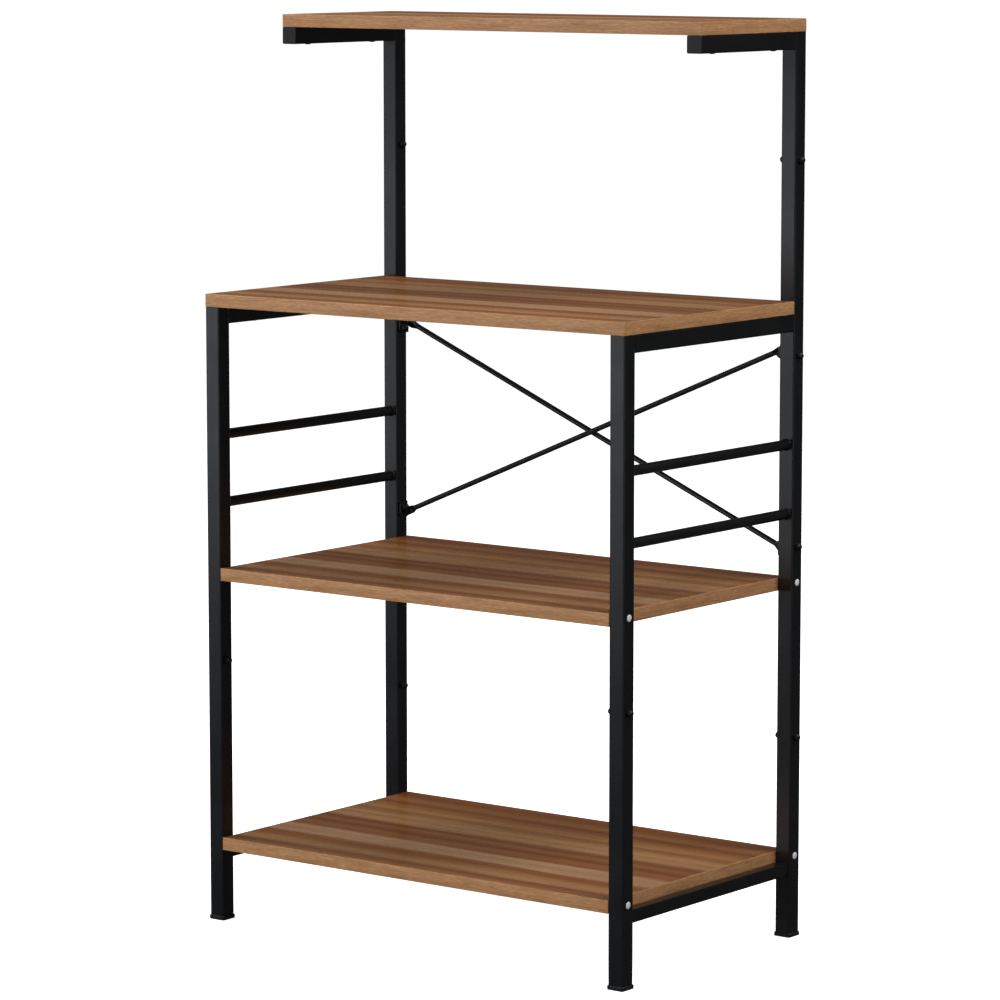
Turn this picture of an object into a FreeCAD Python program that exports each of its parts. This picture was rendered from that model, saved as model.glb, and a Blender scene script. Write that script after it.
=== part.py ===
# Shelving unit: four boards on a square tube frame, with guard bars at the sides and a crossed brace behind.
#
# Millimetres. +Z is up, -Y is the front and +X is the right. The origin is on the floor, at the centre of the
# whole outline. The frame is two side ladders of welded tube that come apart at bolted joints. The two lower
# boards are held between the posts, the counter board lies on the front posts and the side rails, and the top
# board lies on two arms.

import FreeCAD, Part
import math
import os
import Sketcher

# Driving sizes, each with the name that the rest of the model uses

SIZES = [
    # Overall
    ("unit_width", 600, "across the outer faces of the posts"),
    ("frame_depth", 350, "from the front of the front posts to the back of the rear posts"),
    ("bottom_board_top", 100, "floor to the top of the bottom board"),
    ("board_pitch", 320, "from the top of a board to the top of the next"),
    # Square tube of the posts, arms and counter rails
    ("tube_width", 20, "outer width"),
    ("tube_wall", 1.2, "wall"),
    ("tube_inner_corner", 0.6, "inner corner radius"),
    # Smaller square tube beside the bottom board
    ("base_rail_width", 15, "outer width"),
    ("base_rail_wall", 1.2, "wall"),
    ("base_rail_inner_corner", 0.3, "inner corner radius"),
    ("base_rail_lift", 3, "top of the rail above the underside of the bottom board"),
    # Guard bars above the middle board
    ("guard_diameter", 12, "outer diameter"),
    ("guard_wall", 1, "wall"),
    ("guard_rise", 75, "middle board to the axis of the lower bar"),
    ("guard_spacing", 80, "between the two axes"),
    # Post joints
    ("front_leg_length", 295, "front leg, from the foot to the joint"),
    ("rear_leg_length", 220, "rear leg, from the foot to the joint"),
    ("riser_length", 155, "rear riser, from the joint to the top board"),
    ("joint_bolt_rise", 10, "joint to its bolt"),
    ("connector_below", 40, "length of the connector below the joint"),
    ("connector_above", 30, "length of the connector above the joint"),
    ("connector_clearance", 0.15, "connector to the tube, on each side"),
    ("connector_wall", 1.5, "wall"),
    ("connector_inner_corner", 1, "inner corner radius"),
    # Boards
    ("board_thick", 15, "thickness"),
    ("top_board_depth", 208, "depth of the top board"),
    ("edge_band_thick", 1, "thickness of the edge banding"),
    # Plastic plugs in the open tube ends
    ("plug_clearance", 0.2, "rib of a plug to the tube, on each side"),
    ("plug_core_inset", 0.8, "core of a plug inside its ribs, on each side"),
    ("plug_wall", 1.6, "wall of the hollow core"),
    ("plug_corner", 0.6, "corner radius of the core and the ribs"),
    ("plug_rib_height", 1.5, "height of one rib"),
    ("plug_rib_pitch", 4.5, "from one rib to the next"),
    ("foot_flange_height", 5, "height of the foot under the tube"),
    ("foot_flange_proud", 1.4, "foot beyond the faces of the tube"),
    ("foot_edge_round", 1.2, "rounding of the foot's top and bottom edge"),
    ("foot_plug_depth", 16, "length of the foot inside the tube"),
    ("arm_cap_thick", 1.5, "thickness of the cap on the front end of an arm"),
    ("arm_cap_round", 0.6, "rounding of the cap's front edge"),
    ("arm_plug_depth", 12, "length of the cap inside the arm"),
    # Bolts and cap nuts of the post joints and the brace
    ("bolt_diameter", 5, "shank"),
    ("bolt_clearance", 0.25, "shank to its holes, on each side"),
    ("bolt_head_diameter", 9, "domed head"),
    ("bolt_head_edge", 1.2, "height of the head's rim"),
    ("bolt_head_height", 5.8, "height of the head"),
    ("bolt_bite", 5, "shank inside the nut"),
    ("nut_across_flats", 8, "hexagon of the cap nut"),
    ("nut_flat_height", 4, "height of the hexagon"),
    ("nut_dome_diameter", 7.4, "foot of the dome"),
    ("nut_dome_edge", 0.8, "straight part under the dome"),
    ("nut_crown", 1.9, "metal between the bore and the top of the dome"),
    ("nut_bore_clearance", 0.1, "shank to the bore, on each side"),
    ("nut_bore_spare", 0.6, "bore beyond the end of the shank"),
    # Pale screws through the posts into the two lower boards
    ("shelf_screw_diameter", 4.2, "shank"),
    ("shelf_screw_drop", 4.5, "top of the board to the screw"),
    ("shelf_screw_bite", 25, "length inside the board"),
    ("shelf_screw_head", 8, "diameter of the head"),
    ("shelf_screw_head_edge", 0.4, "height of the head's rim"),
    ("shelf_screw_head_height", 1.3, "height of the head"),
    # Screws up through the counter rails and the arms
    ("board_screw_diameter", 4, "shank"),
    ("board_screw_bite", 10, "length inside the board"),
    ("board_screw_head", 7.6, "diameter of the head"),
    ("board_screw_head_edge", 0.8, "height of the head's rim"),
    ("board_screw_head_height", 2.4, "height of the head"),
    ("counter_screw_inset", 55, "end of a counter rail to its nearest screw"),
    ("arm_screw_inset", 33, "end of an arm to its nearest screw"),
    ("screw_point", 4, "length of a screw's point"),
    ("screw_clearance", 0.2, "screw to its hole, on each side"),
    ("screw_hole_spare", 1, "hole beyond the point of the screw"),
    # Crossed brace behind the middle bay
    ("rod_diameter", 6.4, "brace rod"),
    ("rod_gap", 0.2, "between the two rods where they cross"),
    ("brace_clear_below", 29, "middle board to the axis of a rod at the post"),
    ("brace_clear_above", 40, "axis of a rod at the post to the counter board"),
    ("lug_thick", 2.5, "flattened end of a rod"),
    ("lug_width", 9.5, "width of the flattened end, across the rod"),
    ("lug_length", 11, "flattened end, from the post inwards"),
    ("lug_taper", 6, "length over which the flattened end turns into the round rod"),
    ("lug_bend", 1.2, "inner radius of the bend"),
    ("lug_bolt_to_bend", 4.2, "bolt to the start of the front rod's bend"),
    ("lug_bolt_offset", 8, "bolt to the axis of the rod at the post"),
    ("lug_margin", 6.5, "edge of the lug beyond the bolt"),
    ("lug_corner", 5, "corner radius of the lug"),
    # One overrun for all cuts
    ("overrun", 2, "cut beyond the face that it leaves"),
]

SIDES = (("left", -1), ("right", 1))
HALF_TURN = 180
QUARTER_TURN = 90
FLATS_TO_CORNERS = 1 / math.cos(math.radians(30))
QUARTER_CORNER = math.cos(math.radians(45))
SAME_PLACE = 1e-6

document = FreeCAD.newDocument("shelving_unit")


class Length:
    """A length as a number, for drawing, and as the formula that ties a feature to the sheet."""

    def __init__(self, number, formula):
        self.number = number
        self.formula = formula

    def __add__(self, other):
        return Length(self.number + other.number, f"({self.formula} + {other.formula})")

    def __sub__(self, other):
        return Length(self.number - other.number, f"({self.formula} - {other.formula})")

    def __neg__(self):
        return Length(-self.number, f"(-1 * {self.formula})")

    def __mul__(self, factor):
        if isinstance(factor, Length):
            return Length(self.number * factor.number, f"({self.formula} * {factor.formula})")
        return Length(self.number * factor, f"({self.formula} * {factor})")

    def __truediv__(self, factor):
        if isinstance(factor, Length):
            return Length(self.number / factor.number, f"({self.formula} / {factor.formula})")
        return Length(self.number / factor, f"({self.formula} / {factor})")

    def root(self):
        return Length(math.sqrt(self.number), f"sqrt({self.formula})")

    def degrees(self):
        """The angle, in degrees, of this slope."""
        return Length(math.degrees(math.atan(self.number)), f"atan({self.formula})")


ZERO = Length(0, "0")


def write_sheet():
    """Put the driving sizes in the sheet and give back each one as a Length."""
    sheet = document.addObject("Spreadsheet::Sheet", "sizes")
    lengths = {}
    for row, (name, number, meaning) in enumerate(SIZES, start=1):
        sheet.set(f"A{row}", name)
        sheet.set(f"B{row}", str(number))
        sheet.set(f"C{row}", meaning)
        sheet.setAlias(f"B{row}", name)
        lengths[name] = Length(number, f"sizes.{name}")
    document.recompute()
    return lengths


size = write_sheet()

# Places that follow from the driving sizes

# The rear rod of the brace stands out behind the posts and the feet stand out in front of them. The origin
# is at the centre of it all.
brace_setback = size["lug_bolt_to_bend"] + size["lug_bend"] + size["lug_thick"] + size["rod_gap"] / 2
brace_stand_out = brace_setback + size["rod_gap"] / 2 + size["rod_diameter"] - size["tube_width"] / 2
front_face = -(size["frame_depth"] + brace_stand_out - size["foot_flange_proud"]) / 2
rear_face = front_face + size["frame_depth"]

post_x = (size["unit_width"] - size["tube_width"]) / 2
outer_face_x = size["unit_width"] / 2
inner_face_x = outer_face_x - size["tube_width"]
front_post_y = front_face + size["tube_width"] / 2
rear_post_y = rear_face - size["tube_width"] / 2
between_posts = size["frame_depth"] - size["tube_width"] * 2

bottom_underside = size["bottom_board_top"] - size["board_thick"]
middle_top = size["bottom_board_top"] + size["board_pitch"]
middle_underside = middle_top - size["board_thick"]
counter_underside = middle_underside + size["board_pitch"]
top_underside = counter_underside + size["board_pitch"]
counter_depth = size["frame_depth"] - size["tube_width"]
lower_board_width = size["unit_width"] - size["tube_width"] * 2

tube_corner = size["tube_inner_corner"] + size["tube_wall"]
tube_bore = size["tube_width"] - size["tube_wall"] * 2
arm_front = rear_face - size["top_board_depth"] + size["arm_cap_thick"]
arm_length = rear_face - size["tube_width"] - arm_front
arm_middle = arm_front + arm_length / 2
rail_middle = front_face + size["tube_width"] + between_posts / 2
tube_foot = size["foot_flange_height"]
front_split = tube_foot + size["front_leg_length"]
rear_split = tube_foot + size["rear_leg_length"]
riser_split = top_underside - size["riser_length"]
front_bolt_z = front_split + size["joint_bolt_rise"]
rear_bolt_z = rear_split + size["joint_bolt_rise"]
riser_bolt_z = riser_split + size["joint_bolt_rise"]
shelf_screw_rise = size["board_thick"] - size["shelf_screw_drop"]
bottom_screw_z = bottom_underside + shelf_screw_rise
middle_screw_z = middle_underside + shelf_screw_rise
counter_screw_spacing = between_posts - size["counter_screw_inset"] * 2
arm_screw_spacing = arm_length - size["arm_screw_inset"] * 2

brace_low_z = middle_top + size["brace_clear_below"]
brace_high_z = counter_underside - size["brace_clear_above"]
brace_rise = (brace_high_z - brace_low_z) / 2
brace_z = brace_low_z + brace_rise
brace_plane_y = rear_post_y + brace_setback
brace_bolt_low_z = brace_low_z + size["lug_bolt_offset"]
brace_bolt_high_z = brace_high_z - size["lug_bolt_offset"]

bolt_hole = size["bolt_diameter"] + size["bolt_clearance"] * 2
shelf_screw_hole = size["shelf_screw_diameter"] + size["screw_clearance"] * 2
board_screw_hole = size["board_screw_diameter"] + size["screw_clearance"] * 2


# Sketches and features

def bind(item, property_name, length):
    """Tie one property of a feature to the sheet."""
    item.setExpression(property_name, length.formula)


def place(item, x, y, z):
    """Tie the place of a body or of a copy of one to the sheet."""
    bind(item, "Placement.Base.x", x)
    bind(item, "Placement.Base.y", y)
    bind(item, "Placement.Base.z", z)


def new_body(label, x=ZERO, y=ZERO, z=ZERO):
    body = document.addObject("PartDesign::Body", label)
    body.Label = label
    place(body, x, y, z)
    return body


def origin_feature(body, role):
    return next(item for item in body.Origin.OriginFeatures if item.Role == role)


def new_sketch(body, name, role, offset=ZERO, aside=ZERO, tilt=ZERO):
    """A sketch on one of the body's own planes. It is moved along the plane's normal by offset and along the
    plane's own second axis by aside, and turned about the plane's first axis by tilt degrees."""
    sketch = body.newObject("Sketcher::SketchObject", name)
    sketch.AttachmentSupport = [(origin_feature(body, role), "")]
    sketch.MapMode = "FlatFace"
    sketch.AttachmentOffset = FreeCAD.Placement(
        FreeCAD.Vector(), FreeCAD.Rotation(FreeCAD.Vector(1, 0, 0), tilt.number))
    bind(sketch, "AttachmentOffset.Base.z", offset)
    bind(sketch, "AttachmentOffset.Base.y", aside)
    bind(sketch, "AttachmentOffset.Rotation.Angle", tilt)
    return sketch


def hold(sketch, kind, geometry, point, length):
    """Hold one coordinate of a point at a length from the sketch's origin."""
    index = sketch.addConstraint(Sketcher.Constraint(kind, -1, 1, geometry, point, length.number))
    bind(sketch, f"Constraints[{index}]", length)


def turned_left(start, finish, centre):
    return (start - centre).cross(finish - centre).z > 0


def draw_outline(sketch, corners, arcs=None):
    """Draw a closed outline. arcs gives, for the edge that leaves a corner, the centre of its arc and the
    coordinate that holds that centre."""
    arcs = arcs or {}
    edges = []
    points = [FreeCAD.Vector(x.number, y.number, 0) for x, y in corners]
    for index, start in enumerate(points):
        finish = points[(index + 1) % len(points)]
        if index not in arcs:
            geometry = sketch.addGeometry(Part.LineSegment(start, finish), False)
            edges.append((geometry, 1, 2))
            continue
        centre_x, centre_y, held = arcs[index]
        centre = FreeCAD.Vector(centre_x.number, centre_y.number, 0)
        left = turned_left(start, finish, centre)
        first, last = (start, finish) if left else (finish, start)
        circle = Part.Circle(centre, FreeCAD.Vector(0, 0, 1), (start - centre).Length)
        angles = [math.atan2(point.y - centre.y, point.x - centre.x) for point in (first, last)]
        geometry = sketch.addGeometry(Part.ArcOfCircle(circle, *angles), False)
        edges.append((geometry, 1, 2) if left else (geometry, 2, 1))
    for index, (geometry, start_point, end_point) in enumerate(edges):
        following, following_start, _ = edges[(index + 1) % len(edges)]
        joined = Sketcher.Constraint("Coincident", geometry, end_point, following, following_start)
        sketch.addConstraint(joined)
        hold(sketch, "DistanceX", geometry, start_point, corners[index][0])
        hold(sketch, "DistanceY", geometry, start_point, corners[index][1])
        if index in arcs:
            centre_x, centre_y, held = arcs[index]
            hold(sketch, "DistanceX" if held == "x" else "DistanceY", geometry, 3,
                 centre_x if held == "x" else centre_y)


def draw_circle(sketch, x, y, diameter):
    circle = Part.Circle(FreeCAD.Vector(x.number, y.number, 0), FreeCAD.Vector(0, 0, 1), diameter.number / 2)
    geometry = sketch.addGeometry(circle, False)
    index = sketch.addConstraint(Sketcher.Constraint("Diameter", geometry, diameter.number))
    bind(sketch, f"Constraints[{index}]", diameter)
    hold(sketch, "DistanceX", geometry, 3, x)
    hold(sketch, "DistanceY", geometry, 3, y)


def draw_rectangle(sketch, width, height):
    """A rectangle about the sketch's origin."""
    x = width / 2
    y = height / 2
    draw_outline(sketch, [(-x, -y), (x, -y), (x, y), (-x, y)])


def draw_rounded_square(sketch, width, radius):
    """A square about the sketch's origin, with a quarter arc at each corner."""
    far = width / 2
    near = far - radius
    corners = [
        (-near, -far), (near, -far),
        (far, -near), (far, near),
        (near, far), (-near, far),
        (-far, near), (-far, -near),
    ]
    arcs = {1: (near, -near, "x"), 3: (near, near, "x"), 5: (-near, near, "x"), 7: (-near, -near, "x")}
    draw_outline(sketch, corners, arcs)


def pad(body, sketch, length, backwards=False, symmetric=False):
    feature = body.newObject("PartDesign::Pad", "pad")
    feature.Profile = sketch
    bind(feature, "Length", length)
    feature.Reversed = backwards
    feature.SideType = "Symmetric" if symmetric else "One side"
    return feature


def pocket(body, sketch, length, backwards=False, symmetric=False):
    """Cut a sketch into the body, and stop if that takes nothing away."""
    document.recompute()
    before = body.Shape.Volume
    feature = body.newObject("PartDesign::Pocket", "pocket")
    feature.Profile = sketch
    bind(feature, "Length", length)
    feature.Reversed = backwards
    feature.SideType = "Symmetric" if symmetric else "One side"
    document.recompute()
    if body.Shape.Volume >= before:
        raise RuntimeError(f"{body.Label}: a cut took nothing away")
    return feature


def revolve(body, sketch):
    """Turn a profile about the sketch's own horizontal axis."""
    feature = body.newObject("PartDesign::Revolution", "revolution")
    feature.Profile = sketch
    feature.ReferenceAxis = (sketch, ["H_Axis"])
    return feature


def round_edges(body, radius, wanted):
    """Round the edges of the body for which wanted(edge) is true."""
    document.recompute()
    base = body.Tip
    names = [f"Edge{number}" for number, edge in enumerate(base.Shape.Edges, start=1) if wanted(edge)]
    feature = body.newObject("PartDesign::Fillet", "rounding")
    feature.Base = (base, names)
    bind(feature, "Radius", radius)
    return feature


def group(label, copies):
    """One node that holds several separate solids."""
    compound = document.addObject("Part::Compound", label)
    compound.Label = label
    compound.Links = copies
    return compound


def copy_of(body, label, x, y, z, axis=FreeCAD.Vector(0, 0, 1), angle=0):
    """Another one of the same piece, turned about an axis and put in its place."""
    link = document.addObject("App::Link", label)
    link.Label = label
    link.LinkedObject = body
    link.Placement = FreeCAD.Placement(FreeCAD.Vector(), FreeCAD.Rotation(axis, angle))
    place(link, x, y, z)
    return link


# Tubes and bars

def cross_holes(body, holes, tube_width):
    """Holes along X through both walls of an upright tube. holes gives height and diameter."""
    sketch = new_sketch(body, "cross_holes", "YZ_Plane")
    for height, diameter in holes:
        draw_circle(sketch, ZERO, height, diameter)
    pocket(body, sketch, tube_width + size["overrun"] * 2, symmetric=True)


def square_tube(body, role, width, wall, inner_corner, length, backwards=False):
    """A square tube with rounded corners, from the body's origin along the normal of the named plane."""
    sketch = new_sketch(body, "tube_section", role)
    draw_rounded_square(sketch, width, inner_corner + wall)
    draw_rounded_square(sketch, width - wall * 2, inner_corner)
    pad(body, sketch, length, backwards)


def upright(label, x, y, low, high, holes):
    """A piece of post between two heights, with its cross holes given by height above the floor."""
    body = new_body(label, x, y, low)
    square_tube(body, "XY_Plane", size["tube_width"], size["tube_wall"], size["tube_inner_corner"],
                high - low)
    cross_holes(body, [(height - low, diameter) for height, diameter in holes], size["tube_width"])
    return body


def frame_uprights(side, x):
    screw = shelf_screw_hole
    return [
        upright(f"front_leg_{side}", x, front_post_y, tube_foot, front_split, [(bottom_screw_z, screw)]),
        upright(f"front_post_{side}", x, front_post_y, front_split, counter_underside,
                [(front_bolt_z, bolt_hole), (middle_screw_z, screw)]),
        upright(f"rear_leg_{side}", x, rear_post_y, tube_foot, rear_split, [(bottom_screw_z, screw)]),
        upright(f"rear_post_{side}", x, rear_post_y, rear_split, riser_split,
                [(rear_bolt_z, bolt_hole), (middle_screw_z, screw), (brace_bolt_low_z, bolt_hole),
                 (brace_bolt_high_z, bolt_hole)]),
        upright(f"rear_riser_{side}", x, rear_post_y, riser_split, top_underside,
                [(riser_bolt_z, bolt_hole)]),
    ]


def connector(label, x, y, split):
    """The inner tube that two lengths of post slide over, with the hole for the joint's bolt."""
    body = new_body(label, x, y, split - size["connector_below"])
    width = tube_bore - size["connector_clearance"] * 2
    length = size["connector_below"] + size["connector_above"]
    square_tube(body, "XY_Plane", width, size["connector_wall"], size["connector_inner_corner"], length)
    cross_holes(body, [(size["connector_below"] + size["joint_bolt_rise"], bolt_hole)], width)
    return body


def screwed_rail(label, x, y, underside, length, screw_spacing):
    """A level tube that runs back from y, with upright holes for its two board screws."""
    body = new_body(label, x, y, underside + size["tube_width"] / 2)
    square_tube(body, "XZ_Plane", size["tube_width"], size["tube_wall"], size["tube_inner_corner"], length,
                backwards=True)
    sketch = new_sketch(body, "screw_holes", "XY_Plane")
    for direction in (-1, 1):
        draw_circle(sketch, ZERO, length / 2 + screw_spacing * direction / 2, board_screw_hole)
    pocket(body, sketch, size["tube_width"] + size["overrun"] * 2, symmetric=True)
    return body


def base_rail(side, x):
    body = new_body(f"base_rail_{side}", x, front_face + size["tube_width"],
                    bottom_underside + size["base_rail_lift"] - size["base_rail_width"] / 2)
    square_tube(body, "XZ_Plane", size["base_rail_width"], size["base_rail_wall"],
                size["base_rail_inner_corner"], between_posts, backwards=True)
    return body


def guard_bar(label, x, height):
    body = new_body(label, x, front_face + size["tube_width"], height)
    sketch = new_sketch(body, "bar_section", "XZ_Plane")
    draw_circle(sketch, ZERO, ZERO, size["guard_diameter"])
    draw_circle(sketch, ZERO, ZERO, size["guard_diameter"] - size["guard_wall"] * 2)
    pad(body, sketch, between_posts, backwards=True)
    return body


# Plastic plugs

def ribbed_plug(body, role, depth, backwards):
    """The hollow core and the ribs that grip the tube, along the normal of the named plane."""
    outer = tube_bore - size["plug_clearance"] * 2
    core = outer - size["plug_core_inset"] * 2
    sketch = new_sketch(body, "plug_core", role)
    draw_rounded_square(sketch, core, size["plug_corner"])
    pad(body, sketch, depth, backwards)
    sketch = new_sketch(body, "plug_rib", role, size["plug_rib_pitch"] * (-1 if backwards else 1))
    draw_rounded_square(sketch, outer, size["plug_corner"])
    rib = pad(body, sketch, size["plug_rib_height"], backwards)
    document.recompute()
    pattern = body.newObject("PartDesign::LinearPattern", "ribs")
    pattern.Originals = [rib]
    pattern.Direction = (sketch, ["N_Axis"])
    pattern.Reversed = backwards
    pattern.Mode = "Spacing"
    pattern.Occurrences = 2
    bind(pattern, "Offset", size["plug_rib_pitch"])
    body.Tip = pattern
    sketch = new_sketch(body, "plug_hollow", role)
    draw_rounded_square(sketch, core - size["plug_wall"] * 2, size["plug_corner"])
    pocket(body, sketch, depth, backwards=not backwards)


def lies_at(axis, place_there):
    """A test for edges that lie in one plane across an axis."""
    def test(edge):
        box = edge.BoundBox
        low = getattr(box, axis + "Min")
        high = getattr(box, axis + "Max")
        return abs(low - place_there) < SAME_PLACE and abs(high - place_there) < SAME_PLACE
    return test


def foot(label, x, y):
    """A foot with a flange under the tube and a ribbed plug inside it."""
    body = new_body(label, x, y, size["foot_flange_height"])
    ribbed_plug(body, "XY_Plane", size["foot_plug_depth"], backwards=False)
    sketch = new_sketch(body, "flange", "XY_Plane")
    draw_rounded_square(sketch, size["tube_width"] + size["foot_flange_proud"] * 2,
                        tube_corner + size["foot_flange_proud"])
    pad(body, sketch, size["foot_flange_height"], backwards=True)
    flange_reach = size["tube_width"].number / 2 + SAME_PLACE
    on_top = lies_at("Z", 0)
    on_floor = lies_at("Z", -size["foot_flange_height"].number)

    def rim(edge):
        box = edge.BoundBox
        outside = max(abs(box.XMin), abs(box.XMax), abs(box.YMin), abs(box.YMax)) > flange_reach
        return outside and (on_top(edge) or on_floor(edge))

    round_edges(body, size["foot_edge_round"], rim)
    return body


def arm_cap(label, x):
    """A flush cap with a ribbed plug that closes the front end of an arm."""
    body = new_body(label, x, arm_front, top_underside - size["tube_width"] / 2)
    ribbed_plug(body, "XZ_Plane", size["arm_plug_depth"], backwards=True)
    sketch = new_sketch(body, "flange", "XZ_Plane")
    draw_rounded_square(sketch, size["tube_width"], tube_corner)
    pad(body, sketch, size["arm_cap_thick"])
    round_edges(body, size["arm_cap_round"], lies_at("Y", -size["arm_cap_thick"].number))
    return body


# Boards

def board(label, width, depth, front, underside):
    """The core of a board, without its banding."""
    band = size["edge_band_thick"]
    body = new_body(label, ZERO, front + depth / 2, underside)
    sketch = new_sketch(body, "board_outline", "XY_Plane")
    draw_rectangle(sketch, width - band * 2, depth - band * 2)
    pad(body, sketch, size["board_thick"])
    return body


def side_screw_holes(body, width, depth):
    """Four level holes into the side edges of a board, for the screws through the posts."""
    band = size["edge_band_thick"]
    core_edge = width / 2 - band
    sketch = new_sketch(body, "side_holes", "YZ_Plane", core_edge)
    for direction in (-1, 1):
        along = (depth - size["tube_width"]) * direction / 2
        draw_circle(sketch, along, shelf_screw_rise, shelf_screw_hole)
    cut = pocket(body, sketch, size["shelf_screw_bite"] - band + size["screw_hole_spare"])
    mirrored = body.newObject("PartDesign::Mirrored", "other_side")
    mirrored.Originals = [cut]
    mirrored.MirrorPlane = (origin_feature(body, "YZ_Plane"), [""])
    body.Tip = mirrored


def underside_screw_holes(body, middle, spacing):
    """Four upright holes into the underside of a board, two above each rail or arm."""
    sketch = new_sketch(body, "underside_holes", "XY_Plane")
    for side in (-1, 1):
        for direction in (-1, 1):
            draw_circle(sketch, post_x * side, middle + spacing * direction / 2, board_screw_hole)
    pocket(body, sketch, size["board_screw_bite"] + size["screw_hole_spare"], backwards=True)


def banding(label, width, depth, front, underside, screwed):
    """The four strips on a board's edges: two along the front and back, and two between them."""
    band = size["edge_band_thick"]
    middle = front + depth / 2
    long_strip = new_body(f"{label}_long_strip")
    sketch = new_sketch(long_strip, "strip", "XZ_Plane")
    x = width / 2
    draw_outline(sketch, [(-x, ZERO), (x, ZERO), (x, size["board_thick"]), (-x, size["board_thick"])])
    pad(long_strip, sketch, band, backwards=True)
    side_strip = new_body(f"{label}_side_strip")
    sketch = new_sketch(side_strip, "strip", "YZ_Plane")
    y = depth / 2 - band
    draw_outline(sketch, [(-y, ZERO), (y, ZERO), (y, size["board_thick"]), (-y, size["board_thick"])])
    if screwed:
        for direction in (-1, 1):
            along = (depth - size["tube_width"]) * direction / 2
            draw_circle(sketch, along, shelf_screw_rise, shelf_screw_hole)
    pad(side_strip, sketch, band, backwards=True)
    return group(label, [
        copy_of(long_strip, f"{label}_front", ZERO, front, underside),
        copy_of(long_strip, f"{label}_back", ZERO, front + depth - band, underside),
        copy_of(side_strip, f"{label}_right", width / 2, middle, underside),
        copy_of(side_strip, f"{label}_left", -width / 2, middle, underside, angle=HALF_TURN),
    ])


def boards():
    lower = (lower_board_width, size["frame_depth"], front_face)
    bottom_board = board("bottom_board", *lower, bottom_underside)
    middle_board = board("middle_board", *lower, middle_underside)
    for body in (bottom_board, middle_board):
        side_screw_holes(body, lower_board_width, size["frame_depth"])
    counter = (size["unit_width"], counter_depth, front_face)
    counter_board = board("counter_board", *counter, counter_underside)
    board_middle = front_face + counter_depth / 2
    underside_screw_holes(counter_board, rail_middle - board_middle, counter_screw_spacing)
    top_front = rear_face - size["top_board_depth"]
    top = (size["unit_width"], size["top_board_depth"], top_front)
    top_board = board("top_board", *top, top_underside)
    board_middle = top_front + size["top_board_depth"] / 2
    underside_screw_holes(top_board, arm_middle - board_middle, arm_screw_spacing)
    return [
        bottom_board, middle_board, counter_board, top_board,
        banding("bottom_board_banding", *lower, bottom_underside, screwed=True),
        banding("middle_board_banding", *lower, middle_underside, screwed=True),
        banding("counter_board_banding", *counter, counter_underside, screwed=False),
        banding("top_board_banding", *top, top_underside, screwed=False),
    ]


# Fasteners: the head of each points along +X and seats at its own origin

def dome_centre(rise, radius, top):
    """Centre, along the axis, of the arc that rises over a rim of the given radius."""
    return top - (rise * rise + radius * radius) / (rise * 2)


def headed_fastener(label, shank, length, head, head_edge, head_height, point=ZERO):
    """A bolt or screw with a domed head, and with a point where one is asked for."""
    body = new_body(label)
    sketch = new_sketch(body, "profile", "XY_Plane")
    corners = [(head_height, ZERO), (head_edge, head / 2), (ZERO, head / 2), (ZERO, shank / 2)]
    if point.number:
        corners += [(point - length, shank / 2), (-length, ZERO)]
    else:
        corners += [(-length, shank / 2), (-length, ZERO)]
    centre = dome_centre(head_height - head_edge, head / 2, head_height)
    draw_outline(sketch, corners, {0: (centre, ZERO, "y")})
    revolve(body, sketch)
    return body


def cap_nut():
    """A domed nut with a blind bore. It seats at its origin and points along -X."""
    body = new_body("cap_nut")
    sketch = new_sketch(body, "hexagon", "YZ_Plane")
    flat = size["nut_across_flats"] / 2
    corner = flat * FLATS_TO_CORNERS
    half = corner / 2
    draw_outline(sketch, [(flat, -half), (flat, half), (ZERO, corner), (-flat, half), (-flat, -half),
                          (ZERO, -corner)])
    pad(body, sketch, size["nut_flat_height"], backwards=True)
    sketch = new_sketch(body, "dome", "XY_Plane")
    radius = size["nut_dome_diameter"] / 2
    rim = size["nut_flat_height"] + size["nut_dome_edge"]
    bore_depth = size["bolt_bite"] + size["nut_bore_spare"]
    height = bore_depth + size["nut_crown"]
    centre = dome_centre(height - rim, radius, height)
    foot_of_dome = -size["nut_flat_height"]
    corners = [(foot_of_dome, ZERO), (foot_of_dome, radius), (-rim, radius), (-height, ZERO)]
    draw_outline(sketch, corners, {2: (-centre, ZERO, "y")})
    revolve(body, sketch)
    sketch = new_sketch(body, "bore", "YZ_Plane")
    draw_circle(sketch, ZERO, ZERO, size["bolt_diameter"] + size["nut_bore_clearance"] * 2)
    pocket(body, sketch, bore_depth)
    return body


def across_posts(body, label, face_x, places):
    """One of the body at each place on the right side, and one turned to face the other way on the left."""
    copies = []
    for number, (y, z) in enumerate(places, start=1):
        copies.append(copy_of(body, f"{label}_right_{number}", face_x, y, z))
        copies.append(copy_of(body, f"{label}_left_{number}", -face_x, y, z, angle=HALF_TURN))
    return group(label, copies)


def bolts_and_nuts():
    head = (size["bolt_head_diameter"], size["bolt_head_edge"], size["bolt_head_height"])
    grip = size["tube_width"] + size["bolt_bite"]
    joint_bolt = headed_fastener("joint_bolt", size["bolt_diameter"], grip, *head)
    brace_bolt = headed_fastener("brace_bolt", size["bolt_diameter"], grip + size["lug_thick"], *head)
    nut = cap_nut()
    joints = [(front_post_y, front_bolt_z), (rear_post_y, rear_bolt_z), (rear_post_y, riser_bolt_z)]
    brace = [(rear_post_y, brace_bolt_low_z), (rear_post_y, brace_bolt_high_z)]
    return [
        across_posts(joint_bolt, "joint_bolts", outer_face_x, joints),
        across_posts(nut, "joint_cap_nuts", inner_face_x, joints),
        across_posts(brace_bolt, "brace_bolts", outer_face_x, brace),
        across_posts(nut, "brace_cap_nuts", inner_face_x - size["lug_thick"], brace),
    ]


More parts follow.
